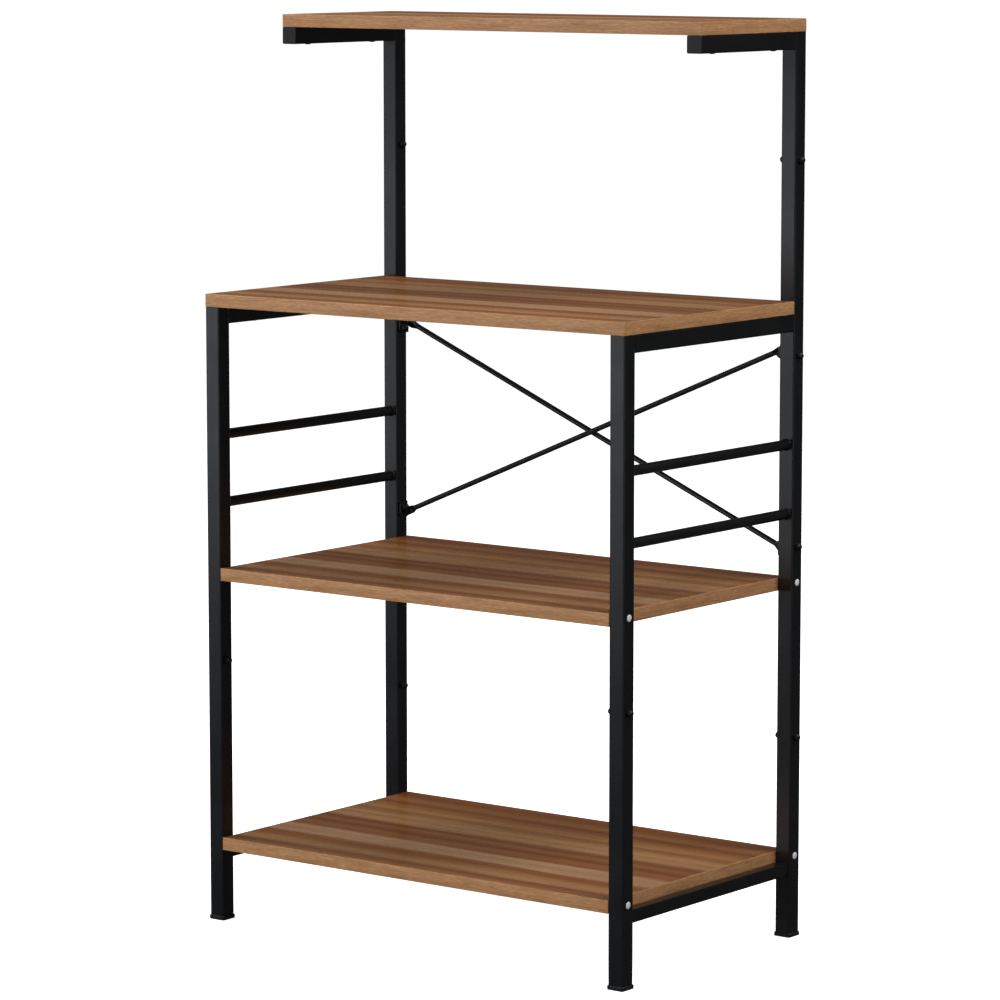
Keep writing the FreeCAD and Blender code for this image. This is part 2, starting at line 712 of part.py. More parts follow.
def screws():
    shelf_screw = headed_fastener("shelf_screw", size["shelf_screw_diameter"],
                                  size["tube_width"] + size["shelf_screw_bite"], size["shelf_screw_head"],
                                  size["shelf_screw_head_edge"], size["shelf_screw_head_height"],
                                  size["screw_point"])
    board_screw = headed_fastener("board_screw", size["board_screw_diameter"],
                                  size["tube_width"] + size["board_screw_bite"], size["board_screw_head"],
                                  size["board_screw_head_edge"], size["board_screw_head_height"],
                                  size["screw_point"])
    shelf_places = [(y, z) for y in (front_post_y, rear_post_y) for z in (bottom_screw_z, middle_screw_z)]
    return [
        across_posts(shelf_screw, "shelf_screws", outer_face_x, shelf_places),
        upward_screws(board_screw, "counter_board_screws", rail_middle, counter_screw_spacing,
                      counter_underside - size["tube_width"]),
        upward_screws(board_screw, "top_board_screws", arm_middle, arm_screw_spacing,
                      top_underside - size["tube_width"]),
    ]


def upward_screws(body, label, middle, spacing, seat):
    """Two screws on each side that point up through a rail or an arm."""
    copies = []
    for side, direction in SIDES:
        for number, sign in enumerate((-1, 1), start=1):
            along = middle + spacing * sign / 2
            copies.append(copy_of(body, f"{label}_{side}_{number}", post_x * direction, along, seat,
                                  FreeCAD.Vector(0, 1, 0), QUARTER_TURN))
    return group(label, copies)


# Crossed brace

def brace_rod(label, lean, flat_back, rod_y):
    """Half of a brace rod with its bent and flattened end, turned about the crossing to make the whole.

    The body's origin is where the rods cross. lean is 1 for the rod that rises to the right and -1 for the
    other. flat_back is the rear of the flattened end and rod_y the rod's axis, both from the plane between
    the rods."""
    body = new_body(label, ZERO, brace_plane_y, brace_z)
    post = -inner_face_x
    thick = size["lug_thick"]
    slope = brace_rise / inner_face_x
    stretch = (slope * slope + Length(1, "1")).root()
    flat_front = flat_back - thick
    bend_start = flat_front - size["lug_bend"]
    bend_end = post + thick + size["lug_bend"]
    flat_end = post + size["lug_length"]
    round_start = flat_end + size["lug_taper"]
    half_width = size["lug_width"] / 2
    half_strip = half_width * stretch
    low_edge = -(brace_rise + half_strip)
    high_edge = size["lug_bolt_offset"] + size["lug_margin"] - brace_rise

    # The lug lies flat against the post, with its hole
    sketch = new_sketch(body, "lug", "YZ_Plane", post)
    corner = size["lug_corner"]
    free_edge = -brace_setback - size["lug_margin"]
    corners = [
        (bend_start, low_edge * lean), (free_edge + corner, low_edge * lean),
        (free_edge, (low_edge + corner) * lean), (free_edge, (high_edge - corner) * lean),
        (free_edge + corner, high_edge * lean), (bend_start, high_edge * lean),
    ]
    arcs = {
        1: (free_edge + corner, (low_edge + corner) * lean, "x"),
        3: (free_edge + corner, (high_edge - corner) * lean, "x"),
    }
    draw_outline(sketch, corners, arcs)
    draw_circle(sketch, -brace_setback, (size["lug_bolt_offset"] - brace_rise) * lean, bolt_hole)
    pad(body, sketch, thick)

    # The bend, seen from above, and cut to the strip that leaves it along the rod
    sketch = new_sketch(body, "bend", "XY_Plane", low_edge * lean)
    corners = [
        (post, bend_start), (post + thick, bend_start),
        (bend_end, flat_front), (bend_end, flat_back),
    ]
    draw_outline(sketch, corners, {1: (bend_end, bend_start, "x"), 3: (bend_end, bend_start, "x")})
    pad(body, sketch, high_edge - low_edge, backwards=lean < 0)
    sketch = new_sketch(body, "strip_cut", "XZ_Plane", -flat_back)
    for direction, beyond in ((-1, low_edge - size["overrun"]), (1, high_edge + size["overrun"])):
        edge = half_strip * direction
        draw_outline(sketch, [
            (post + thick, (slope * (post + thick) + edge) * lean),
            (bend_end, (slope * bend_end + edge) * lean),
            (bend_end, beyond * lean),
            (post + thick, beyond * lean),
        ])
    pocket(body, sketch, (thick + size["overrun"]) * 2, symmetric=True)

    # The flat strip, which ends square to the rod
    sketch = new_sketch(body, "strip", "XZ_Plane", -flat_back)
    corners = [
        (bend_end, (slope * bend_end - half_strip) * lean),
        (flat_end + half_width * slope / stretch, (slope * flat_end - half_width / stretch) * lean),
        (flat_end - half_width * slope / stretch, (slope * flat_end + half_width / stretch) * lean),
        (bend_end, (slope * bend_end + half_strip) * lean),
    ]
    draw_outline(sketch, corners)
    pad(body, sketch, thick)

    # The flat section turns into the round one
    tilt = -slope.degrees() * lean
    flat = new_sketch(body, "flat_section", "YZ_Plane", flat_end, slope * flat_end * lean, tilt)
    draw_outline(flat, [
        (flat_front, -half_width), (flat_back, -half_width),
        (flat_back, half_width), (flat_front, half_width),
    ])
    ring = new_sketch(body, "round_section", "YZ_Plane", round_start, slope * round_start * lean, tilt)
    reach = size["rod_diameter"] / 2 * QUARTER_CORNER
    near = rod_y - reach
    far = rod_y + reach
    arcs = {0: (rod_y, ZERO, "y"), 1: (rod_y, ZERO, "x"), 2: (rod_y, ZERO, "y"), 3: (rod_y, ZERO, "x")}
    draw_outline(ring, [(near, -reach), (far, -reach), (far, reach), (near, reach)], arcs)
    taper = body.newObject("PartDesign::AdditiveLoft", "taper")
    taper.Profile = flat
    taper.Sections = [ring]
    taper.Ruled = True

    # The round rod, from the crossing to its taper
    sketch = new_sketch(body, "rod_section", "YZ_Plane", tilt=tilt)
    draw_circle(sketch, rod_y, ZERO, size["rod_diameter"])
    pad(body, sketch, -round_start * stretch, backwards=True)
    document.recompute()

    # The other half
    whole = body.newObject("PartDesign::PolarPattern", "both_halves")
    whole.TransformMode = "Whole shape"
    whole.Axis = (origin_feature(body, "Y_Axis"), [""])
    whole.Angle = 2 * HALF_TURN
    whole.Occurrences = 2
    body.Tip = whole
    return body


def brace_rods():
    gap = size["rod_gap"] / 2
    radius = size["rod_diameter"] / 2
    return [
        brace_rod("brace_rod_front", 1, -gap, -gap - radius),
        brace_rod("brace_rod_back", -1, gap + size["lug_thick"], gap + radius),
    ]


# The whole unit

def frame():
    pieces = []
    rail_underside = counter_underside - size["tube_width"]
    arm_underside = top_underside - size["tube_width"]
    for side, direction in SIDES:
        x = post_x * direction
        pieces += frame_uprights(side, x)
        pieces += [
            connector(f"front_connector_{side}", x, front_post_y, front_split),
            connector(f"rear_connector_{side}", x, rear_post_y, rear_split),
            connector(f"riser_connector_{side}", x, rear_post_y, riser_split),
            foot(f"front_foot_{side}", x, front_post_y),
            foot(f"rear_foot_{side}", x, rear_post_y),
            screwed_rail(f"counter_rail_{side}", x, front_face + size["tube_width"], rail_underside,
                         between_posts, counter_screw_spacing),
            screwed_rail(f"top_arm_{side}", x, arm_front, arm_underside, arm_length,
                         arm_screw_spacing),
            arm_cap(f"arm_cap_{side}", x),
            base_rail(side, x),
            guard_bar(f"lower_guard_bar_{side}", x, middle_top + size["guard_rise"]),
            guard_bar(f"upper_guard_bar_{side}", x, middle_top + size["guard_rise"] + size["guard_spacing"]),
        ]
    return pieces


def check(nodes):
    """Stop if any object failed or any node is not made of sound closed solids."""
    document.recompute()
    for item in document.Objects:
        if "Invalid" in item.State or "Error" in item.State:
            raise RuntimeError(f"{item.Label} failed: {item.State}")
    for node in nodes:
        shape = node.Shape
        if shape.isNull() or not shape.isValid() or not shape.Solids:
            raise RuntimeError(f"{node.Label} has no sound shape")


def write(nodes):
    os.makedirs("parts", exist_ok=True)
    for node in nodes:
        node.Shape.exportStep(f"parts/{node.Label}.step")


nodes = frame() + boards() + brace_rods() + bolts_and_nuts() + screws()
check(nodes)
write(nodes)
solid_count = sum(len(node.Shape.Solids) for node in nodes)
print(f"{len(nodes)} nodes, {solid_count} solids")
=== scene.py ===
import math

import bmesh
import bpy
from mathutils import Euler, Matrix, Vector


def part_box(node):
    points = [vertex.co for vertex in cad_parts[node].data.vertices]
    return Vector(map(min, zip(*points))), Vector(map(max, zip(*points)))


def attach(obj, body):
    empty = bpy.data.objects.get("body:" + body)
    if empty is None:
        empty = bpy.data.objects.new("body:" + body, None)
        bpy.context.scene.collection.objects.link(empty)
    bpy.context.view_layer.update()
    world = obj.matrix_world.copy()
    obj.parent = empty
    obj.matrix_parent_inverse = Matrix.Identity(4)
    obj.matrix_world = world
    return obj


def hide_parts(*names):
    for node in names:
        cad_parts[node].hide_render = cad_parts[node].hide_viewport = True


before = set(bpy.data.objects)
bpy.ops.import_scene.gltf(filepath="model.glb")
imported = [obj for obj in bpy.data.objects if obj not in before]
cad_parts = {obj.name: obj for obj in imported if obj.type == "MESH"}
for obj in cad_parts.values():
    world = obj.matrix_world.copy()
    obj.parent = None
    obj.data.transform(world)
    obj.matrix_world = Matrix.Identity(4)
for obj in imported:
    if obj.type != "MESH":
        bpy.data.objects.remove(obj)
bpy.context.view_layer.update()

MM = 0.001
BODY = "root"
# Two places nearer than this, in millimetres, are one.
SAME_PLACE = 0.01
# A face looks along an axis if its normal has this much of it.
SQUARE_ON = 0.9


# Where things are, in millimetres, read from the frame

def low(node, axis):
    """The lowest place of a node along an axis."""
    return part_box(node)[0]["xyz".index(axis)] / MM


def high(node, axis):
    """The highest place of a node along an axis."""
    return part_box(node)[1]["xyz".index(axis)] / MM


BOARDS = ("bottom_board", "middle_board", "counter_board", "top_board")
SIDES = (("left", -1), ("right", 1))
front_post_y = (low("front_post_right", "y") + high("front_post_right", "y")) / 2
rear_post_y = (low("rear_post_right", "y") + high("rear_post_right", "y")) / 2
inner_face = low("front_post_right", "x")
outer_face = high("front_post_right", "x")
post_x = (inner_face + outer_face) / 2


# Camera, floor and light

# The photograph is taken from far off, in front and to the right of the unit, a little above its top board.
CAMERA_PLACE = Vector((3125.7, -4099.9, 1184.7)) * MM
CAMERA_TURN = math.radians(37.36)
CAMERA_TILT = math.radians(-7.52)
LENS = 161.7
SENSOR = 36
FAR_CLIP = 100


def camera():
    """The photograph's camera: a long lens, turned to the unit and tilted a little down, with no shift."""
    bpy.ops.object.camera_add(location=CAMERA_PLACE, rotation=(math.pi / 2 + CAMERA_TILT, 0, CAMERA_TURN))
    seen = bpy.context.object
    seen.name = "photograph_camera"
    seen.data.lens = LENS
    seen.data.sensor_width = SENSOR
    seen.data.clip_end = FAR_CLIP
    bpy.context.scene.camera = seen


WHITE, COOL_WHITE = "#FFFFFF", "#F2F7FF"
WORLD_STRENGTH = 0.06
LOW_AIM, MIDDLE_AIM, HIGH_AIM = (0, 0, 0.5), (0, 0, 0.7), (0, 0, 0.9)
# Each panel: its name, its place and aim in metres, its width and height, its power in watts, its colour, and
# whether the unit mirrors it. The first two are what the front faces of the posts mirror.
PANELS = (
    ("front_left_low_panel", (-2.2, -3.2, 0.4), LOW_AIM, 2.2, 0.8, 11.5, COOL_WHITE, True),
    ("front_left_high_panel", (-2.2, -3.2, 2.1), HIGH_AIM, 2.2, 0.9, 21, COOL_WHITE, True),
    ("front_panel", (-0.2, -4.2, 0.8), MIDDLE_AIM, 2.4, 0.9, 60, WHITE, False),
    ("left_panel", (-3.6, -0.6, 2.0), MIDDLE_AIM, 1.8, 1.8, 20, WHITE, False),
    ("top_front_panel", (0, -1.6, 3.4), LOW_AIM, 2.4, 1.6, 10, WHITE, True),
    ("top_left_panel", (-2.2, 0, 3.2), LOW_AIM, 1.8, 1.6, 40, WHITE, True),
    ("top_right_panel", (2.8, 0.4, 3.4), LOW_AIM, 1.8, 1.8, 93, WHITE, True),
    ("top_rear_panel", (0.2, 3.2, 3.4), LOW_AIM, 2.2, 1.6, 46, WHITE, False),
)
# A ring of dim strips gives the frame its sheen from the other sides. They stand too low for the tops of the
# boards to mirror them, and none stands where the right faces of the posts mirror it in the main view.
STRIP_RADIUS, STRIP_LEVEL, STRIP_POWER = 4.0, 0.35, 4.5
STRIP_WIDTH, STRIP_HEIGHT = 1.4, 0.6
STRIP_COMPASS = (0, 45, 90, 180, 270)


def soft_box(name, place, aim, width, height, power, colour, mirrored):
    """A lamp behind white cloth. Where it isn't mirrored, it only lights the unit."""
    place, aim = Vector(place), Vector(aim)
    bpy.ops.object.light_add(type="AREA", location=place)
    lamp = bpy.context.object
    lamp.name = name
    lamp.rotation_euler = (aim - place).to_track_quat("-Z", "Y").to_euler()
    lamp.data.shape = "RECTANGLE"
    lamp.data.size = width
    lamp.data.size_y = height
    lamp.data.energy = power
    lamp.data.color = linear(colour)[:3]
    lamp.visible_camera = False
    lamp.visible_glossy = mirrored


def studio():
    """The dim world, the panels and the ring of strips."""
    world = bpy.data.worlds.new("dim_studio")
    bpy.context.scene.world = world
    world.use_nodes = True
    world.node_tree.nodes["Background"].inputs["Color"].default_value = linear(WHITE)
    world.node_tree.nodes["Background"].inputs["Strength"].default_value = WORLD_STRENGTH
    bpy.context.scene.view_settings.view_transform = "Standard"
    for panel in PANELS:
        soft_box(*panel)
    for compass in STRIP_COMPASS:
        turn = math.radians(compass)
        aim = Vector((0, 0, STRIP_LEVEL))
        place = Vector((math.sin(turn), -math.cos(turn), 0)) * STRIP_RADIUS + aim
        soft_box(f"low_strip_{compass}", place, aim, STRIP_WIDTH, STRIP_HEIGHT, STRIP_POWER, COOL_WHITE, True)


def studio_floor(finish):
    """A pale round floor, in metres, whose rim sweeps up into a wall."""
    floor_radius, floor_sides, sweep, steps, wall = 12.0, 96, 3.0, 8, 6.0
    deselect()
    bpy.ops.mesh.primitive_circle_add(vertices=floor_sides, radius=floor_radius, fill_type="NGON")
    floor = named("studio_floor")
    bpy.ops.object.mode_set(mode="EDIT")
    bpy.ops.mesh.select_mode(type="EDGE")
    bpy.ops.mesh.select_all(action="SELECT")
    bpy.ops.mesh.region_to_loop()
    radius, height = floor_radius, 0.0
    for step in range(1, steps + 1):
        angle = math.pi / 2 * step / steps
        next_radius = floor_radius + sweep * math.sin(angle)
        next_height = sweep * (1 - math.cos(angle))
        bpy.ops.mesh.extrude_edges_move(TRANSFORM_OT_translate={"value": (0, 0, next_height - height)})
        grow = next_radius / radius
        bpy.ops.transform.resize(value=(grow, grow, 1), center_override=(0, 0, next_height))
        radius, height = next_radius, next_height
    bpy.ops.mesh.extrude_edges_move(TRANSFORM_OT_translate={"value": (0, 0, wall)})
    bpy.ops.object.mode_set(mode="OBJECT")
    floor.data.materials.append(finish)
    bpy.ops.object.shade_smooth()
    # The floor is only a background: it neither lights the unit nor is mirrored in it.
    floor.visible_glossy = False
    floor.visible_diffuse = False


# Working by hand on a mesh

def deselect():
    """Deselects everything, because an operator acts on all that is selected."""
    bpy.ops.object.select_all(action="DESELECT")


def named(name):
    """Names the object that was just added, and gives it back."""
    bpy.context.object.name = name
    return bpy.context.object


def settle():
    """Puts the place, turn and size of what is selected into its mesh."""
    bpy.ops.object.transform_apply(location=True, rotation=True, scale=True)


def block(name, lowest, highest):
    """A block between two corners in millimetres, to be shaped further."""
    deselect()
    lowest, highest = Vector(lowest), Vector(highest)
    bpy.ops.mesh.primitive_cube_add(size=1, location=(lowest + highest) / 2 * MM)
    piece = named(name)
    piece.scale = (highest - lowest) * MM
    settle()
    return piece


def pick(piece, kind, wanted):
    """In edit mode, selects only the VERT, EDGE or FACE elements that wanted says yes to."""
    bpy.ops.mesh.select_mode(type=kind)
    bpy.ops.mesh.select_all(action="DESELECT")
    mesh = bmesh.from_edit_mesh(piece.data)
    for element in {"VERT": mesh.verts, "EDGE": mesh.edges, "FACE": mesh.faces}[kind]:
        element.select_set(bool(wanted(element)))
    mesh.select_flush_mode()
    bmesh.update_edit_mesh(piece.data)


def only(piece):
    """Makes this piece the one that is selected and active."""
    deselect()
    piece.select_set(True)
    bpy.context.view_layer.objects.active = piece


def finish_modifier(piece, kind, **settings):
    """Adds a modifier with its settings and applies it."""
    only(piece)
    modifier = piece.modifiers.new(kind.lower(), kind)
    for setting, value in settings.items():
        setattr(modifier, setting, value)
    bpy.ops.object.modifier_apply(modifier=modifier.name)


def cut_away(piece, cutter):
    """Cuts the cutter's shape out of the piece, and drops the cutter."""
    finish_modifier(piece, "BOOLEAN", object=cutter, operation="DIFFERENCE", solver="EXACT")
    bpy.data.objects.remove(cutter)


def joined(pieces, name):
    """Makes several pieces one object."""
    deselect()
    for piece in pieces:
        piece.select_set(True)
    bpy.context.view_layer.objects.active = pieces[0]
    if len(pieces) > 1:
        bpy.ops.object.join()
    return named(name)


def copies(model, name, places):
    """Copies of a model, each with its own mesh, at (place in mm, turn in radians), as one object."""
    made = []
    for place, turn in places:
        only(model)
        bpy.ops.object.duplicate(linked=False)
        copy = bpy.context.object
        copy.location = Vector(place) * MM
        copy.rotation_euler = Euler(turn)
        settle()
        made.append(copy)
    bpy.data.objects.remove(model)
    return joined(made, name)


# Faces that meet at less than this many degrees are shaded as one.
SMOOTH_ANGLE = 32


def hand_in(piece, finish, slot, *nodes):
    """Gives a finished piece its material and its body, and hides the nodes that it stands for. The slot is
    not used.
    """
    piece.data.materials.clear()
    piece.data.materials.append(finish)
    only(piece)
    bpy.ops.object.shade_smooth_by_angle(angle=math.radians(SMOOTH_ANGLE))
    if nodes:
        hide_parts(*nodes)
    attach(piece, BODY)


# Edge strips

strip_thick = low("bottom_board", "x") - low("bottom_board_banding", "x")
ARRIS, ARRIS_STEPS = 0.7, 4


def round_arrises(piece, wanted):
    """Rounds the edges of a strip that the trimmer runs along."""
    only(piece)
    bpy.ops.object.mode_set(mode="EDIT")
    pick(piece, "EDGE", wanted)
    bpy.ops.mesh.bevel(offset=ARRIS * MM, segments=ARRIS_STEPS, affect="EDGES")
    bpy.ops.object.mode_set(mode="OBJECT")


def lies_in(edge, axis, value):
    """Whether both ends of an edge are at this place along an axis, in millimetres."""
    return all(abs(end.co["xyz".index(axis)] / MM - value) < SAME_PLACE for end in edge.verts)


def edge_strips(board, finish):
    """The four strips on a board's edges: two along the front and back, and two between them."""
    node = board + "_banding"
    right, front, back = high(node, "x"), low(node, "y"), high(node, "y")
    under, top = low(node, "z"), high(node, "z")
    strips = []
    for name, outer, glued in (("front", front, front + strip_thick), ("back", back, back - strip_thick)):
        piece = block(board + "_strip_" + name, (-right, min(outer, glued), under),
                      (right, max(outer, glued), top))
        round_arrises(piece, lambda edge: not lies_in(edge, "y", glued))
        strips.append(piece)
    for name, side in SIDES:
        outer, glued = right * side, (right - strip_thick) * side
        piece = block(board + "_strip_" + name, (min(outer, glued), front + strip_thick, under),
                      (max(outer, glued), back - strip_thick, top))
        round_arrises(piece, lambda edge: lies_in(edge, "x", outer)
                      and (lies_in(edge, "z", under) or lies_in(edge, "z", top)))
        if board in screw_levels:
            for hole_y in (front_post_y, rear_post_y):
                bore(piece, outer, hole_y, screw_levels[board])
        strips.append(piece)
    hand_in(joined(strips, board + "_edge_strips"), finish, "edge_banding", node)


def bore(piece, x, y, z):
    """Drills a strip for a shelf screw, from the side."""
    radius = SHELF_SCREW["shank"] / 2 + SCREW_CLEARANCE
    deselect()
    bpy.ops.mesh.primitive_cylinder_add(vertices=HOLE_SIDES, radius=radius * MM, depth=HOLE_DEPTH * MM,
                                        location=Vector((x, y, z)) * MM, rotation=(0, math.pi / 2, 0))
    settle()
    cut_away(piece, bpy.context.object)


# Screws and bolts

# Each fastener: its head, the rim of the head, the head's height, its shank and its point, in millimetres.
SHELF_SCREW = {"head": 8.0, "edge": 0.4, "height": 1.3, "shank": 4.2, "point": 4.0}
BOARD_SCREW = {"head": 7.6, "edge": 0.5, "height": 1.3, "shank": 4.0, "point": 4.0}
BOLT = {"head": 9.0, "edge": 1.2, "height": 5.8, "shank": 5.0, "point": 0.0}
# How far each fastener reaches past the tube that it goes through. A brace bolt also goes through a lug.
SHELF_SCREW_BITE, BOARD_SCREW_BITE, JOINT_BOLT_BITE, BRACE_BOLT_BITE = 25, 10, 5, 7.5
JOINT_BOLT_RISE = 10
SCREW_CLEARANCE = 0.2
HOLE_SIDES, HOLE_DEPTH = 24, 8
# How far the cutter of a recess reaches out of the head, in millimetres.
OVERSHOOT = 1
FASTENER_SIDES, DOME_RINGS = 36, 7
# Edges sharper than this many degrees are eased.
EASE_ANGLE = 38
screw_levels = {"bottom_board": low("shelf_screws", "z") + SHELF_SCREW["head"] / 2,
                "middle_board": high("shelf_screws", "z") - SHELF_SCREW["head"] / 2}


def turned_fastener(name, length, head, edge, height, shank, point):
    """A screw or bolt with a round head, with its seat at zero and its head up."""
    rise, rim = height - edge, head / 2
    # A screw's point narrows to this share of the shank.
    tip = 0.1
    # The radius of the head's dome, and how far the dome leans at the rim.
    dome = (rise ** 2 + rim ** 2) / (2 * rise)
    lean = math.asin(rim / dome) if rise < dome else math.pi / 2
    deselect()
    bpy.ops.mesh.primitive_circle_add(vertices=FASTENER_SIDES, radius=rim * MM, fill_type="NGON")
    piece = named(name)
    bpy.ops.object.mode_set(mode="EDIT")
    bpy.ops.mesh.select_mode(type="FACE")
    bpy.ops.mesh.select_all(action="SELECT")
    bpy.ops.mesh.extrude_region_move(TRANSFORM_OT_translate={"value": (0, 0, edge * MM)})
    radius, level = rim, edge
    for ring in range(1, DOME_RINGS + 1):
        angle = lean * (1 - ring / (DOME_RINGS + 1))
        next_radius = dome * math.sin(angle)
        next_level = height - dome * (1 - math.cos(angle))
        bpy.ops.mesh.extrude_region_move(TRANSFORM_OT_translate={"value": (0, 0, (next_level - level) * MM)})
        shrink = next_radius / radius
        bpy.ops.transform.resize(value=(shrink, shrink, 1), center_override=(0, 0, next_level * MM))
        radius, level = next_radius, next_level
    pick(piece, "FACE", lambda face: face.calc_center_median().z < SAME_PLACE * MM
         and abs(face.normal.z) > SQUARE_ON)
    bpy.ops.mesh.inset(thickness=(rim - shank / 2) * MM)
    bpy.ops.mesh.extrude_region_move(TRANSFORM_OT_translate={"value": (0, 0, (point - length) * MM)})
    if point:
        bpy.ops.mesh.extrude_region_move(TRANSFORM_OT_translate={"value": (0, 0, -point * MM)})
        bpy.ops.transform.resize(value=(tip, tip, 1), center_override=(0, 0, -length * MM))
    bpy.ops.mesh.select_all(action="SELECT")
    bpy.ops.mesh.normals_make_consistent(inside=False)
    bpy.ops.object.mode_set(mode="OBJECT")
    return piece


def cut_cross(piece, span, width, depth, top):
    """Cuts a cross recess into a head: two blades that narrow towards the bottom."""
    # The length and thickness of a blade at its bottom, as shares of those at its top.
    shorter, thinner = 0.4, 0.7
    for turn in (0, math.pi / 2):
        blade = block("blade", (-span / 2, -width / 2, top - depth), (span / 2, width / 2, top + OVERSHOOT))
        bpy.ops.object.mode_set(mode="EDIT")
        pick(blade, "FACE", lambda face: face.normal.z < -SQUARE_ON)
        bpy.ops.transform.resize(value=(shorter, thinner, 1), center_override=(0, 0, (top - depth) * MM))
        bpy.ops.object.mode_set(mode="OBJECT")
        blade.rotation_euler.z = turn
        settle()
        cut_away(piece, blade)


def cut_hexagon(piece, across_corners, depth, top):
    """Cuts a hexagon socket into a head, with the cone that the drill leaves under it."""
    cone_depth, cone_tip = depth / 4, 0.2
    deselect()
    bpy.ops.mesh.primitive_cylinder_add(vertices=6, radius=across_corners / 2 * MM,
                                        depth=(depth + OVERSHOOT) * MM,
                                        location=(0, 0, (top + (OVERSHOOT - depth) / 2) * MM))
    socket = named("socket")
    settle()
    bpy.ops.object.mode_set(mode="EDIT")
    pick(socket, "FACE", lambda face: face.normal.z < -SQUARE_ON)
    bpy.ops.mesh.extrude_region_move(TRANSFORM_OT_translate={"value": (0, 0, -cone_depth * MM)})
    bpy.ops.transform.resize(value=(cone_tip, cone_tip, 1))
    bpy.ops.object.mode_set(mode="OBJECT")
    cut_away(piece, socket)


def ease_edges(piece, width):
    """Breaks the sharp edges of a pressed head."""
    finish_modifier(piece, "BEVEL", width=width * MM, segments=2, limit_method="ANGLE",
                    angle_limit=math.radians(EASE_ANGLE))


def outward(side):
    """The turn that points a fastener's head away from the unit, on the left or right side."""
    return (0, side * math.pi / 2, 0)


def shelf_screws():
    """The pale screws through the posts into the two lower boards."""
    tube = outer_face - inner_face
    model = turned_fastener("shelf_screw", tube + SHELF_SCREW_BITE, **SHELF_SCREW)
    cut_cross(model, span=4.6, width=1.1, depth=1.9, top=SHELF_SCREW["height"])
    ease_edges(model, width=0.1)
    places = [((outer_face * side, y, z), outward(side)) for _, side in SIDES
              for y in (front_post_y, rear_post_y) for z in screw_levels.values()]
    hand_in(copies(model, "zinc_shelf_screws", places), zinc, "zinc_plated_steel", "shelf_screws")


def bolts():
    """The bolts of the post joints and of the brace ends."""
    tube, half_head = outer_face - inner_face, BOLT["head"] / 2
    joints = [(post_y, high(lower_tube, "z") + JOINT_BOLT_RISE) for post_y, lower_tube in (
        (front_post_y, "front_leg_right"), (rear_post_y, "rear_leg_right"), (rear_post_y, "rear_post_right"))]
    braces = [(rear_post_y, low("brace_bolts", "z") + half_head),
              (rear_post_y, high("brace_bolts", "z") - half_head)]
    for node, spots, bite in (("joint_bolts", joints, JOINT_BOLT_BITE),
                              ("brace_bolts", braces, BRACE_BOLT_BITE)):
        model = turned_fastener(node + "_model", tube + bite, **BOLT)
        cut_hexagon(model, across_corners=3.6, depth=2.2, top=BOLT["height"])
        ease_edges(model, width=0.12)
        places = [((outer_face * side, y, z), outward(side)) for _, side in SIDES for y, z in spots]
        hand_in(copies(model, "socket_head_" + node, places), oxide, "black_steel", node)


def board_screws():
    """The screws that hold the counter board and the top board from below."""
    half_head = BOARD_SCREW["head"] / 2
    for node, tube_node in (("counter_board_screws", "counter_rail_right"),
                            ("top_board_screws", "top_arm_right")):
        tube = high(tube_node, "z") - low(tube_node, "z")
        model = turned_fastener(node + "_model", tube + BOARD_SCREW_BITE, **BOARD_SCREW)
        cut_cross(model, span=4.4, width=1.1, depth=2.4, top=BOARD_SCREW["height"])
        ease_edges(model, width=0.12)
        places = [((post_x * side, y, low(tube_node, "z")), (math.pi, 0, 0)) for _, side in SIDES
                  for y in (low(node, "y") + half_head, high(node, "y") - half_head)]
        hand_in(copies(model, "cross_head_" + node, places), oxide, "black_steel", node)


# Weld beads

# In millimetres: a bead's radius, the height and length of its ripples, how far a bead under a rail or an arm
# stays inside the tube's sides, and how far a base rail's beads stop short of the rail's corners
BEAD, BEAD_RIPPLE, RIPPLE_LENGTH, BEAD_MARGIN, CORNER_GAP = 0.8, 0.12, 1.1, 3, 1


def ripple(piece, wanted):
    """Swells every other ring of a bead, as a weld freezes in ripples."""
    pick(piece, "VERT", wanted)
    bpy.ops.transform.shrink_fatten(value=BEAD_RIPPLE * MM)


def weld_ring(place, radius):
    """A ring of weld round the end of a round bar that runs along Y."""
    rings, sides = 44, 8
    deselect()
    bpy.ops.mesh.primitive_torus_add(major_radius=(radius + BEAD / 4) * MM, minor_radius=BEAD * MM,
                                     major_segments=rings, minor_segments=sides,
                                     location=Vector(place) * MM, rotation=(math.pi / 2, 0, 0))
    piece = named("bead")
    settle()
    bpy.ops.object.mode_set(mode="EDIT")
    middle = Vector(place) * MM
    step = 2 * math.pi / rings

    def on_even_ring(vertex):
        offset = vertex.co - middle
        return round(math.atan2(offset.z, offset.x) / step) % 2 == 0

    ripple(piece, on_even_ring)
    bpy.ops.object.mode_set(mode="OBJECT")
    return piece


